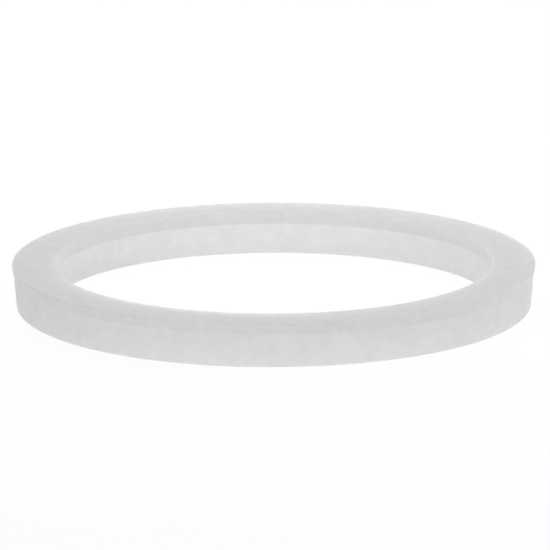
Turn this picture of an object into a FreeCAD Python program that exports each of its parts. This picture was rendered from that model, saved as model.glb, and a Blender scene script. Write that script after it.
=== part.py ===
# Cap gasket: a ring of translucent silicone with a nearly square section. It lies flat in a
# cap and is squeezed between the cap and the mouth of a tube or vessel. Both walls are slightly
# undercut just below the top face, so the top edges stand a little proud of the walls.
# Millimetres, +Z up, origin at the centre of the bottom face.
import FreeCAD, Part
import os
import Sketcher

NODE = "gasket"

# The driving sizes. The outer edge of the top face sets the ring's size, and the other edges
# of the section are placed from it.
SIZES = {
    "rim_radius": 38.1,  # outer edge of the top face, the widest place
    "section_width": 6.25,  # outer to inner edge of the top face, before they are rounded
    "ring_height": 6.5,  # bottom face to top face
    "rim_land": 0.35,  # top face down to the lower end of the rim's upright edge
    "rim_overhang": 0.25,  # how far the rim stands out past the wall's shoulder
    "outer_band": 1.6,  # top face down to that shoulder
    "wall_draft": 0.4,  # how far the outer wall draws in from the shoulder to the bottom
    "mouth_overhang": 0.15,  # how far the inner edge stands in past the bore's wall
    "inner_band": 1.9,  # top face down to where the bore's wall runs straight
    "rim_round": 0.15,  # rounding of the two top edges
    "foot_round": 0.45,  # rounding of the two bottom edges
}

# Two heights closer than this are taken as the same level.
LEVEL_TOLERANCE = 0.001


def add_sheet(doc):
    """Put the driving sizes in a sheet, one row each."""
    sheet = doc.addObject("Spreadsheet::Sheet", "Sizes")
    for row, (alias, value) in enumerate(SIZES.items(), start=1):
        sheet.set(f"A{row}", alias)
        sheet.set(f"B{row}", str(value))
        sheet.setAlias(f"B{row}", alias)
    doc.recompute()


def origin_plane(body, role):
    """The body's own origin plane that has this role."""
    for feature in body.Origin.OriginFeatures:
        if feature.Role == role:
            return feature
    raise ValueError(f"no plane {role}")


def section_corners():
    """The section's corners as radius and height, anticlockwise from the bottom of the bore."""
    rim = SIZES["rim_radius"]
    top = SIZES["ring_height"]
    shoulder = rim - SIZES["rim_overhang"]
    mouth = rim - SIZES["section_width"]
    bore = mouth + SIZES["mouth_overhang"]
    return {
        "bore_foot": (bore, 0),
        "outer_foot": (shoulder - SIZES["wall_draft"], 0),
        "shoulder": (shoulder, top - SIZES["outer_band"]),
        "land_foot": (rim, top - SIZES["rim_land"]),
        "rim": (rim, top),
        "mouth": (mouth, top),
        "bore_top": (bore, top - SIZES["inner_band"]),
    }


def add_section(body):
    """Draw half of the ring's cross-section: radius along x, height along y."""
    sketch = body.newObject("Sketcher::SketchObject", "Section")
    sketch.AttachmentSupport = [(origin_plane(body, "XZ_Plane"), "")]
    sketch.MapMode = "FlatFace"

    # One line from each corner to the next, kept under the name of the corner where it starts.
    corners = section_corners()
    names = list(corners)
    turns = list(zip(names, names[1:] + names[:1]))
    lines = {}
    for name, following in turns:
        ends = [FreeCAD.Vector(*corners[end], 0) for end in (name, following)]
        lines[name] = sketch.addGeometry(Part.LineSegment(*ends), False)

    start, end = 1, 2
    for name, following in turns:
        sketch.addConstraint(Sketcher.Constraint("Coincident", lines[name], end, lines[following], start))

    # The top and bottom faces are flat, and the rim's edge and the bore's wall are upright.
    horizontal_axis = -1
    sketch.addConstraint(Sketcher.Constraint("PointOnObject", lines["bore_foot"], start, horizontal_axis))
    sketch.addConstraint(Sketcher.Constraint("Horizontal", lines["bore_foot"]))
    sketch.addConstraint(Sketcher.Constraint("Horizontal", lines["rim"]))
    sketch.addConstraint(Sketcher.Constraint("Vertical", lines["land_foot"]))
    sketch.addConstraint(Sketcher.Constraint("Vertical", lines["bore_top"]))

    # Each driving size is the distance from one corner to another, or from the ring's axis.
    place = {name: (line, start) for name, line in lines.items()}
    place["axis"] = (-1, 1)
    dimensions = [
        ("rim_radius", "DistanceX", "axis", "rim"),
        ("section_width", "DistanceX", "mouth", "rim"),
        ("ring_height", "DistanceY", "axis", "rim"),
        ("rim_land", "DistanceY", "land_foot", "rim"),
        ("rim_overhang", "DistanceX", "shoulder", "rim"),
        ("outer_band", "DistanceY", "shoulder", "rim"),
        ("wall_draft", "DistanceX", "outer_foot", "shoulder"),
        ("mouth_overhang", "DistanceX", "mouth", "bore_top"),
        ("inner_band", "DistanceY", "bore_top", "mouth"),
    ]
    for alias, kind, first, second in dimensions:
        constraint = Sketcher.Constraint(kind, *place[first], *place[second], SIZES[alias])
        sketch.renameConstraint(sketch.addConstraint(constraint), alias)
        sketch.setExpression(f"Constraints.{alias}", f"Sizes.{alias}")
    return sketch


def edges_at(shape, height):
    """Names of the edges that lie wholly at this height: the two rims of a flat face."""
    found = []
    for number, edge in enumerate(shape.Edges, start=1):
        box = edge.BoundBox
        if abs(box.ZMin - height) < LEVEL_TOLERANCE and abs(box.ZMax - height) < LEVEL_TOLERANCE:
            found.append(f"Edge{number}")
    return found


def add_round(body, base, name, height, alias):
    """Round the two edges of the flat face at this height."""
    fillet = body.newObject("PartDesign::Fillet", name)
    fillet.Base = (base, edges_at(base.Shape, height))
    fillet.setExpression("Radius", f"Sizes.{alias}")
    body.Document.recompute()
    return fillet


def add_gasket(doc):
    """One closed ring: the section turned once round the axis, then its edges softened."""
    body = doc.addObject("PartDesign::Body", "Gasket")
    body.Label = NODE
    section = add_section(body)
    doc.recompute()

    ring = body.newObject("PartDesign::Revolution", "Ring")
    ring.Profile = section
    ring.ReferenceAxis = (section, ["V_Axis"])
    ring.Angle = 360
    doc.recompute()

    soft_top = add_round(body, ring, "RimRound", SIZES["ring_height"], "rim_round")
    add_round(body, soft_top, "FootRound", 0, "foot_round")
    return body


def check(doc, body):
    """Stop before anything is written if an object or the shape has failed."""
    doc.recompute()
    for item in doc.Objects:
        if "Invalid" in item.State or "Error" in item.State:
            raise RuntimeError(f"{item.Name} failed: {item.State}")
    if body.Shape.isNull() or not body.Shape.isValid():
        raise RuntimeError(f"{body.Label} has no sound shape")
    if len(body.Shape.Solids) != 1:
        raise RuntimeError(f"{body.Label} has {len(body.Shape.Solids)} solids")


def main():
    doc = FreeCAD.newDocument("CapGasket")
    add_sheet(doc)
    gasket = add_gasket(doc)
    check(doc, gasket)

    os.makedirs("parts", exist_ok=True)
    gasket.Shape.exportStep(f"parts/{NODE}.step")
    box = gasket.Shape.optimalBoundingBox()
    print(f"{NODE}: {box.XLength:.2f} x {box.YLength:.2f} x {box.ZLength:.2f} mm, "
          f"volume {gasket.Shape.Volume:.1f} cubic mm")


main()
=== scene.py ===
# %% [markdown]
# # Silicone cap gasket
# The object is one flat ring of milky silicone rubber. It lies in the cap of a tube or
# vessel and is squeezed when the cap is screwed down. It is a single moulding, so there is
# one piece to model, and nearly all of its look comes from two things: the exact shape of
# its section, and light that sinks into the rubber and comes out again nearby.
#
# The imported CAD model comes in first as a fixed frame. Everything here is in metres.

# %% Load the frame
import bmesh
import bpy
import math
from mathutils import Matrix, Vector


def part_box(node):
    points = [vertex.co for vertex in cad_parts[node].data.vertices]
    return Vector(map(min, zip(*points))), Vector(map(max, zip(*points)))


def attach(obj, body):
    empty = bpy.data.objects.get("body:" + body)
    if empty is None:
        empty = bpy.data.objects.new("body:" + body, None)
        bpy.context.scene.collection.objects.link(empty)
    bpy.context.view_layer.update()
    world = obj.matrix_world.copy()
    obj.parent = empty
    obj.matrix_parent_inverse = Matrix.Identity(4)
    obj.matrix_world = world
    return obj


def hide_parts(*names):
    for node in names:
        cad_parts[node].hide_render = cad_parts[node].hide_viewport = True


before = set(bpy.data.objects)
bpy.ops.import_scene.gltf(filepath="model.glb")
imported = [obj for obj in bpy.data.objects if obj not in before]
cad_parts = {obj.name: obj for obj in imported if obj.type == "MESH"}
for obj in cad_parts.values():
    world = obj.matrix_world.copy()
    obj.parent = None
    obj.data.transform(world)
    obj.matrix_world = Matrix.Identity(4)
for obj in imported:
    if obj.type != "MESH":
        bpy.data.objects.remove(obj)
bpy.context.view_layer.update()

MM = 0.001
gasket_low, gasket_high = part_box("gasket")
print("CAD ring, mm:", [round(c / MM, 2) for c in gasket_high - gasket_low])

# %% [markdown]
# ## The camera
# The photograph was taken with a long lens from a good distance, a little above the ring:
# far and near sides are almost the same width, and the ring's opening is a narrow ellipse.
# A lens could be guessed and the picture nudged by eye, but a wrong distance can't be
# nudged away. So distance, height and lens here are one matched set, found from the
# outlines of the ring and of its hole. The camera looks at a spot close to the ring's axis,
# about two thirds of the way up the ring, and leans by a fifth of a degree.

# %% Place the camera
CAMERA_DISTANCE = 0.9144
CAMERA_ELEVATION = math.radians(13.82)
CAMERA_TARGET = Vector((0.19 * MM, 0, 4.36 * MM))
CAMERA_LEAN = math.radians(-0.208)
LENS_MM = 410.1
SENSOR_MM = 36
NEAREST_SEEN = 0.05
FARTHEST_SEEN = 20

camera_data = bpy.data.cameras.new("camera")
camera_data.lens = LENS_MM
camera_data.sensor_width = SENSOR_MM
camera_data.clip_start = NEAREST_SEEN
camera_data.clip_end = FARTHEST_SEEN
camera = bpy.data.objects.new("camera", camera_data)
bpy.context.collection.objects.link(camera)

camera_place = CAMERA_DISTANCE * Vector(
    (0, -math.cos(CAMERA_ELEVATION), math.sin(CAMERA_ELEVATION))
)
aim = (CAMERA_TARGET - camera_place).to_track_quat("-Z", "Y")
lean = Matrix.Rotation(CAMERA_LEAN, 4, "Z")
camera.matrix_world = Matrix.Translation(camera_place) @ aim.to_matrix().to_4x4() @ lean
bpy.context.scene.camera = camera
print("camera at", [round(c, 4) for c in camera_place])

# %% [markdown]
# ## The ring's section
# Cut through the ring and its section is nearly a square with soft corners. Two details
# matter. The outer wall leans in towards the bottom, as a moulded wall does so that it
# leaves the mould. And just below the top face both walls are undercut: the top edges
# stand a little proud, and each undercut ends in a line that runs all the way round.
#
# A ring could be made from a cylinder with a hole cut in it, but a cut leaves long thin
# faces that shade badly. Drawing the section once and turning it round the axis gives even
# faces all round, so that is how it is made. The radius and the height are read from the
# CAD ring, and the small sizes are the ones that it was drawn with.

# %% Corners of the section
RIM_RADIUS = gasket_high.x
RING_HEIGHT = gasket_high.z

SECTION_WIDTH = 6.25 * MM
RIM_LAND = 0.35 * MM
RIM_OVERHANG = 0.25 * MM
OUTER_BAND = 1.6 * MM
WALL_DRAFT = 0.4 * MM
MOUTH_OVERHANG = 0.15 * MM
INNER_BAND = 1.9 * MM

SHOULDER_RADIUS = RIM_RADIUS - RIM_OVERHANG
SHOULDER_HEIGHT = RING_HEIGHT - OUTER_BAND
FOOT_RADIUS = SHOULDER_RADIUS - WALL_DRAFT
MOUTH_RADIUS = RIM_RADIUS - SECTION_WIDTH
BORE_RADIUS = MOUTH_RADIUS + MOUTH_OVERHANG
BORE_TOP = RING_HEIGHT - INNER_BAND

corners = {
    "bore foot": (BORE_RADIUS, 0),
    "outer foot": (FOOT_RADIUS, 0),
    "shoulder": (SHOULDER_RADIUS, SHOULDER_HEIGHT),
    "land foot": (RIM_RADIUS, RING_HEIGHT - RIM_LAND),
    "rim": (RIM_RADIUS, RING_HEIGHT),
    "mouth": (MOUTH_RADIUS, RING_HEIGHT),
    "bore top": (BORE_RADIUS, BORE_TOP),
}
print("hole", round(2 * BORE_RADIUS / MM, 2), "mm across")

# %% [markdown]
# Rubber has no knife edges. The two top edges have a small rounding, the two bottom ones a
# larger one, and the shallow lines of the undercuts only a trace. The finished ring's edges
# could be bevelled instead, but that means thousands of edges to pick out. On the section
# each of them is still a single point, so the points are rounded before the ring is made.

# %% Draw the section and round its corners
TOP_ROUND = 0.15 * MM
FOOT_ROUND = 0.45 * MM
LINE_ROUND = 0.12 * MM
ROUND_STEPS = 5
ROUNDS = {
    "rim": TOP_ROUND,
    "mouth": TOP_ROUND,
    "bore foot": FOOT_ROUND,
    "outer foot": FOOT_ROUND,
    "shoulder": LINE_ROUND,
    "bore top": LINE_ROUND,
}

bm = bmesh.new()
drawn = {name: bm.verts.new((radius, 0, height)) for name, (radius, height) in corners.items()}
loop = list(drawn.values())
for start, end in zip(loop, loop[1:] + loop[:1]):
    bm.edges.new((start, end))

for name, size in ROUNDS.items():
    bmesh.ops.bevel(
        bm,
        geom=[drawn[name]],
        offset=size,
        offset_type="OFFSET",
        segments=ROUND_STEPS,
        profile=0.5,
        affect="VERTICES",
        material=-1,
    )
print(len(bm.verts), "points in the rounded section")

# %% [markdown]
# The flat stretches between the corners are then divided into short pieces. Smooth shading
# blends the direction of neighbouring faces, and a wide flat face beside a tiny rounded one
# would look swollen. Short faces keep that blend within a fraction of a millimetre.

# %% Divide the long sides
STEP = 0.5 * MM
for edge in list(bm.edges):
    pieces = round(edge.calc_length() / STEP)
    if pieces > 1:
        bmesh.ops.subdivide_edges(bm, edges=[edge], cuts=pieces - 1)
print(len(bm.verts), "points after dividing")

# %% [markdown]
# Now the section goes once round the axis. 480 steps make each face half a millimetre long
# at the rim, as long as the short pieces of the section, and the outline looks round even
# close up. The last step lands on the first one and is merged with it, so the ring is
# closed. Spinning can also turn a shape inside out. Recalculating the normals makes every
# face look outwards, which the scattering of light inside the rubber depends on.

# %% Turn the section round the axis
TURN_STEPS = 480
SAME_POINT = 0.001 * MM

bmesh.ops.spin(
    bm,
    geom=bm.verts[:] + bm.edges[:],
    cent=(0, 0, 0),
    axis=(0, 0, 1),
    angle=math.tau,
    steps=TURN_STEPS,
    use_merge=True,
)
bmesh.ops.remove_doubles(bm, verts=bm.verts, dist=SAME_POINT)
bmesh.ops.recalc_face_normals(bm, faces=bm.faces)
for face in bm.faces:
    face.smooth = True

ring_mesh = bpy.data.meshes.new("silicone_ring")
bm.to_mesh(ring_mesh)
open_edges = sum(not edge.is_manifold for edge in bm.edges)
volume = bm.calc_volume(signed=True)
bm.free()
ring = bpy.data.objects.new("silicone_ring", ring_mesh)
bpy.context.collection.objects.link(ring)
print(len(ring_mesh.polygons), "faces,", open_edges, "open edges,", round(volume / MM**3), "cubic mm")

# %% [markdown]
# ## Moulded translucent silicone
# Silicone rubber without pigment is clear in a thin film and milky in a thick ring, because
# fine silica in it scatters light. So the edges glow, shadows inside are soft, and there is
# no hard highlight: the mould's blasted steel leaves a satin skin.
#
# Glass with a cloudy volume would be the literal way to build it. It is slow and grainy, and
# it doesn't export. Subsurface scattering gives the same softness from the surface alone.
#
# Two helpers come first. Colours are written as a screen shows them, as hex values, and one
# function turns them into the linear numbers that a shader works with. The other adds a
# node with its settings and links, so that a material reads as a list of its parts.

# %% Colour and node helpers
def linear(hex_colour):
    """An sRGB hex colour as linear red, green, blue and alpha."""
    channels = [int(hex_colour[i:i + 2], 16) / 255 for i in (1, 3, 5)]
    return [c / 12.92 if c <= 0.04045 else ((c + 0.055) / 1.055) ** 2.4 for c in channels] + [1]


def add_node(tree, kind, settings=None, inputs=None, links=None):
    """Add a node, then set its properties and inputs and link other nodes' outputs to it."""
    node = tree.nodes.new(kind)
    for name, value in (settings or {}).items():
        setattr(node, name, value)
    for name, value in (inputs or {}).items():
        node.inputs[name].default_value = value
    for name, output in (links or {}).items():
        tree.links.new(output, node.inputs[name])
    return node


print("a screen's middle grey, #808080, is", round(linear("#808080")[0], 3), "in linear light")

# %% [markdown]
# ### Painted light and shade on the skin
# Light and shade are painted into the rubber's colour here. The top face is painted
# darker, as painted shade, and the walls lighter, as painted light. The undercuts lie
# between the two, with painted shade that is deepest at the front and the back. The
# painted light grows weaker up the outer wall, and the bore's wall is painted darker
# towards its foot.
#
# Separate materials for walls, undercuts and top would meet in hard lines. Instead every
# point of the mesh stores how much painted light it gets, and one material reads that
# number. The rounded edge of the rim catches light from other sides than its two
# neighbours do. So it gets painted light of its own, stronger on the left, without which
# it would show as a thin dark line.

# %% Store the painted light and shade
# Painted light and shade: 1 gives the lightest grey, for the lit walls, and 0 the darkest, for the
# top face in painted shade.
WALL_PAINTED_LIGHT = 0.74
BORE_FOOT_PAINTED_SHADE = 0.7
UNDERCUT_PAINTED_SHADE = 0.34
LEFT_RIM_PAINTED_LIGHT = 1
RIGHT_RIM_PAINTED_LIGHT = 0.5
FULL_PAINTED_LIGHT_HEIGHT = 1 * MM
THIN_PAINTED_LIGHT_HEIGHT = 4 * MM
SIDEWAYS_POWER = 8
LINE_WIDTH = 0.06 * MM
RIM_EDGE = 0.8 * TOP_ROUND
MIDDLE_RADIUS = (MOUTH_RADIUS + RIM_RADIUS) / 2


def share(value, low, high):
    """How far a value has come from low, 0, to high, 1."""
    return min(max((value - low) / (high - low), 0), 1)


def blend(start, end, part):
    """The value that lies this part of the way from start to end."""
    return start + (end - start) * part


def painted_shading_at(point):
    """Painted light and shade of the skin, from 0, painted shade on the top face, to 1, painted light
    low on the walls.
    """
    height = point.z
    radius = point.to_2d().length
    outside = radius > MIDDLE_RADIUS
    if outside:
        # painted light: the outer wall is painted lighter towards the bottom
        wall = blend(1, WALL_PAINTED_LIGHT, share(height, FULL_PAINTED_LIGHT_HEIGHT, THIN_PAINTED_LIGHT_HEIGHT))
        line = SHOULDER_HEIGHT
    else:
        # painted shade: the bore's wall is painted darker towards its foot
        wall = blend(1, BORE_FOOT_PAINTED_SHADE, share(height, BORE_TOP / 2, 0))
        line = BORE_TOP
    # painted shade: the undercuts are painted darkest at the front and the back, lighter towards the
    # sides
    sideways = abs(point.x) / radius
    undercut = blend(UNDERCUT_PAINTED_SHADE, WALL_PAINTED_LIGHT, sideways**SIDEWAYS_POWER)
    painted_shading_value = blend(wall, undercut, share(height, line - LINE_WIDTH, line + LINE_WIDTH))
    # painted light: the rim's rounded edge is painted lighter, more on the left, so that it doesn't
    # show as a dark line
    if outside and height > RING_HEIGHT - RIM_EDGE:
        painted_shading_value = blend(LEFT_RIM_PAINTED_LIGHT, RIGHT_RIM_PAINTED_LIGHT, share(point.x, -RIM_RADIUS, RIM_RADIUS))
    return painted_shading_value * (1 - share(height, RING_HEIGHT - LINE_WIDTH, RING_HEIGHT))


painted_shading = ring_mesh.attributes.new("painted_shading", "FLOAT", "POINT")
for vertex, entry in zip(ring_mesh.vertices, painted_shading.data):
    entry.value = painted_shading_at(vertex.co)
stored = [entry.value for entry in painted_shading.data]
print("haze from", round(min(stored), 2), "to", round(max(stored), 2))

# %% [markdown]
# ### Colour of the rubber
# Two greys stand for painted shade and painted light, and the stored number mixes them. The
# filler is never spread quite evenly, so the ring looks faintly cloudy, in patches of a
# millimetre or two. A picture of the clouds could be painted and wrapped round the ring,
# but it would have a seam. A noise on Object coordinates fills all of space instead, and
# the ring is cut out of it. Most of a noise lies between 0.25 and 0.75, so that range is
# stretched over the tones of the clouds.

# %% Mix the shaded and the lit colour, with clouds
SHADED_COLOUR = "#CACACA"
LIT_COLOUR = "#DDDDDD"
CLOUD_SIZE = 1.6 * MM
DARKEST_CLOUD = 0.96
LIGHTEST_CLOUD = 1.04

silicone = bpy.data.materials.new("moulded_translucent_silicone")
silicone.use_nodes = True
tree = silicone.node_tree
tree.nodes.clear()

stored_painted_shading = add_node(tree, "ShaderNodeAttribute", settings={"attribute_name": "painted_shading"})
# painted light and shade: the stored number mixes the darker and the lighter grey
painted_shading_colour = add_node(
    tree,
    "ShaderNodeMix",
    settings={"data_type": "RGBA"},
    inputs={"A": linear(SHADED_COLOUR), "B": linear(LIT_COLOUR)},
    links={"Factor": stored_painted_shading.outputs["Fac"]},
)
place = add_node(tree, "ShaderNodeTexCoord")
clouds = add_node(
    tree,
    "ShaderNodeTexNoise",
    inputs={"Scale": 1 / CLOUD_SIZE, "Detail": 2, "Roughness": 0.5},
    links={"Vector": place.outputs["Object"]},
)
cloud_tone = add_node(
    tree,
    "ShaderNodeMapRange",
    inputs={"From Min": 0.25, "From Max": 0.75, "To Min": DARKEST_CLOUD, "To Max": LIGHTEST_CLOUD},
    links={"Value": clouds.outputs["Fac"]},
)
cloudy_colour = add_node(
    tree,
    "ShaderNodeVectorMath",
    settings={"operation": "MULTIPLY"},
    links={0: painted_shading_colour.outputs["Result"], 1: cloud_tone.outputs["Result"]},
)
print("clouds of", round(CLOUD_SIZE / MM, 1), "mm on greys", SHADED_COLOUR, "and", LIT_COLOUR)

# %% [markdown]
# ### Satin skin and soft body
# Blasted steel prints a grain of a few hundredths of a millimetre, far too fine to show in
# the picture. It is drawn coarser, at 0.6 mm, as a bump so slight that it only keeps the
# sheen from looking like plastic film. Without it the walls would be too smooth.
#
# The body is one Principled shader. 1.41 is the usual refractive index of silicone rubber.
# A roughness of 0.6 and half of the usual gloss give the satin skin. Light travels up to
# 16 mm inside the rubber, further than the ring is thick, so all of the ring glows. Rubber
# scatters it a little forwards. As red, green and blue travel equally far, it stays grey.

# %% Grain, scattering and output
GRAIN_SIZE = 0.6 * MM
GRAIN_DEPTH = 0.02 * MM
GRAIN_STRENGTH = 0.15
LIGHT_REACH = 16 * MM

grain = add_node(
    tree,
    "ShaderNodeTexNoise",
    inputs={"Scale": 1 / GRAIN_SIZE, "Detail": 2, "Roughness": 0.5},
    links={"Vector": place.outputs["Object"]},
)
skin = add_node(
    tree,
    "ShaderNodeBump",
    inputs={"Strength": GRAIN_STRENGTH, "Distance": GRAIN_DEPTH},
    links={"Height": grain.outputs["Fac"]},
)
body = add_node(
    tree,
    "ShaderNodeBsdfPrincipled",
    inputs={
        "Roughness": 0.6,
        "IOR": 1.41,
        "Specular IOR Level": 0.25,
        "Subsurface Weight": 0.6,
        "Subsurface Radius": (1, 1, 1),
        "Subsurface Scale": LIGHT_REACH,
        "Subsurface Anisotropy": 0.3,
    },
    links={"Base Color": cloudy_colour.outputs["Vector"], "Normal": skin.outputs["Normal"]},
)
add_node(tree, "ShaderNodeOutputMaterial", links={"Surface": body.outputs["BSDF"]})
print("silicone has", len(tree.nodes), "nodes")

# %% [markdown]
# ### In place of the CAD ring
# The CAD ring has the right shape, but its faces are long thin triangles. The new ring takes
# its place in the picture and rides on the only body of the part. Its one material slot
# holds the silicone.

# %% The ring stands for the CAD node
ring_mesh.materials.append(silicone)
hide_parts("gasket")
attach(ring, "root")
print(ring.name, "wears", ring.active_material.name)

# %% [markdown]
# ## Floor and light
# The photograph shows the ring on plain white. A white floor could be lit until it clips,
# but the same light would wash out the ring. The floor here is an ordinary pale surface
# for every ray that lights the ring. Only the camera, and what the ring mirrors or lets
# through, sees it as white, with a trace of its own shading mixed in, so that the ring's
# soft shadow stays and it doesn't seem to float. A Light Path node tells the rays apart.

# %% Rays that see white
WHITE = (1, 1, 1, 1)
WHITE_RAYS = ("Is Camera Ray", "Is Glossy Ray", "Is Transmission Ray")


def seen_as_white(tree):
    """An output that is 1 for the rays that see white, and 0 for all others."""
    ray = add_node(tree, "ShaderNodeLightPath")
    seen = ray.outputs[WHITE_RAYS[0]]
    for other in WHITE_RAYS[1:]:
        either = add_node(
            tree,
            "ShaderNodeMath",
            settings={"operation": "MAXIMUM"},
            links={0: seen, 1: ray.outputs[other]},
        )
        seen = either.outputs["Value"]
    return seen


print("white for:", ", ".join(WHITE_RAYS))

# %% [markdown]
# The table is white paper, four metres wide, so that its far edge is out of the picture.
# It also glows a little of itself. That stands for the light that a whole white studio
# table sends up from below, and it lifts the lower part of the walls as in the photograph.

# %% Floor
FLOOR_SIZE = 4
PAPER_COLOUR = "#F0F0F0"
SHADOW_SHARE = 0.1
TABLE_GLOW = 0.39

bm = bmesh.new()
bmesh.ops.create_grid(bm, x_segments=1, y_segments=1, size=FLOOR_SIZE / 2)
floor_mesh = bpy.data.meshes.new("floor")
bm.to_mesh(floor_mesh)
bm.free()
floor = bpy.data.objects.new("floor", floor_mesh)
bpy.context.collection.objects.link(floor)

white_floor = bpy.data.materials.new("white_paper")
white_floor.use_nodes = True
tree = white_floor.node_tree
tree.nodes.clear()
paper = add_node(tree, "ShaderNodeBsdfDiffuse", inputs={"Color": linear(PAPER_COLOUR)})
glow = add_node(tree, "ShaderNodeEmission", inputs={"Color": WHITE, "Strength": TABLE_GLOW})
white = add_node(tree, "ShaderNodeEmission", inputs={"Color": WHITE, "Strength": 1})
lit_table = add_node(tree, "ShaderNodeAddShader", links={0: paper.outputs[0], 1: glow.outputs[0]})
shown = add_node(
    tree,
    "ShaderNodeMixShader",
    inputs={0: SHADOW_SHARE},
    links={1: white.outputs[0], 2: lit_table.outputs[0]},
)
floor_mix = add_node(
    tree,
    "ShaderNodeMixShader",
    links={0: seen_as_white(tree), 1: lit_table.outputs[0], 2: shown.outputs[0]},
)
add_node(tree, "ShaderNodeOutputMaterial", links={"Surface": floor_mix.outputs[0]})
floor_mesh.materials.append(white_floor)
print("floor of", FLOOR_SIZE, "m, with", SHADOW_SHARE, "of its own shading in view")

# %% [markdown]
# Beyond the floor's edge lies the world, which shows in low views and in the ring's sheen.
# It is white for the same rays and gives no light of its own, so that all the light on the
# ring comes from the table and the lamps.

# %% World
world = bpy.data.worlds.new("white_room")
bpy.context.scene.world = world
world.use_nodes = True
tree = world.node_tree
tree.nodes.clear()
room = add_node(
    tree,
    "ShaderNodeBackground",
    inputs={"Color": WHITE},
    links={"Strength": seen_as_white(tree)},
)
add_node(tree, "ShaderNodeOutputWorld", links={"Surface": room.outputs[0]})
print("world has", len(tree.nodes), "nodes")

# %% [markdown]
# ### Soft boxes
# Milky rubber shows no sharp highlights. What tells one side from another is only how much
# light it gets, so every lamp is a soft box, a lit rectangle of cloth. Three large ones at
# the front, the front left and low on the right light the outer wall.
#
# In the photograph the bore is lighter than the outer wall, and distant lamps light both
# alike. So three small lamps stand close by, behind the ring and to its right, and one
# hangs over its centre, where it lights the bore's wall all round and not the outer wall.
#
# Each row of the table has the direction in degrees, first round the ring, where 0 is the
# camera's side and 90 the right, then up from the table. After that come the distance and
# the width and height of the cloth in metres, and its brightness, where 1 is white. A
# lamp's power is that brightness times pi times the area of the cloth.

# %% Hang the soft boxes
SOFT_BOXES = {
    "front_softbox": (0, 20, 1.2, 0.7, 0.7, 2.9),
    "front_left_softbox": (-45, 25, 1.2, 0.7, 0.7, 1.5),
    "right_strip": (90, 4, 1.2, 1.6, 0.25, 2),
    "over_centre_box": (0, 90, 0.12, 0.06, 0.06, 2),
    "back_softbox": (180, 45, 0.28, 0.2, 0.2, 2.9),
    "back_left_softbox": (-140, 25, 0.28, 0.16, 0.16, 1.2),
    "right_softbox": (90, 50, 0.28, 0.16, 0.16, 2),
}
for name, (azimuth, elevation, distance, width, height, brightness) in SOFT_BOXES.items():
    lamp = bpy.data.lights.new(name, "AREA")
    lamp.shape = "RECTANGLE"
    lamp.size = width
    lamp.size_y = height
    lamp.energy = brightness * math.pi * width * height
    box = bpy.data.objects.new(name, lamp)
    turn = math.radians(azimuth)
    rise = math.radians(elevation)
    box.location = distance * Vector(
        (math.sin(turn) * math.cos(rise), -math.cos(turn) * math.cos(rise), math.sin(rise))
    )
    box.rotation_euler = box.location.to_track_quat("Z", "Y").to_euler()
    box.visible_camera = False
    bpy.context.collection.objects.link(box)
print(len(SOFT_BOXES), "soft boxes")

# %% [markdown]
# ### Colours as they are written
# Blender's usual view bends bright tones as film does, which would turn the white paper
# grey. The Standard view shows each colour as it is.

# %% Choose the view
view = bpy.context.scene.view_settings
view.view_transform = "Standard"
print("view transform", view.view_transform)
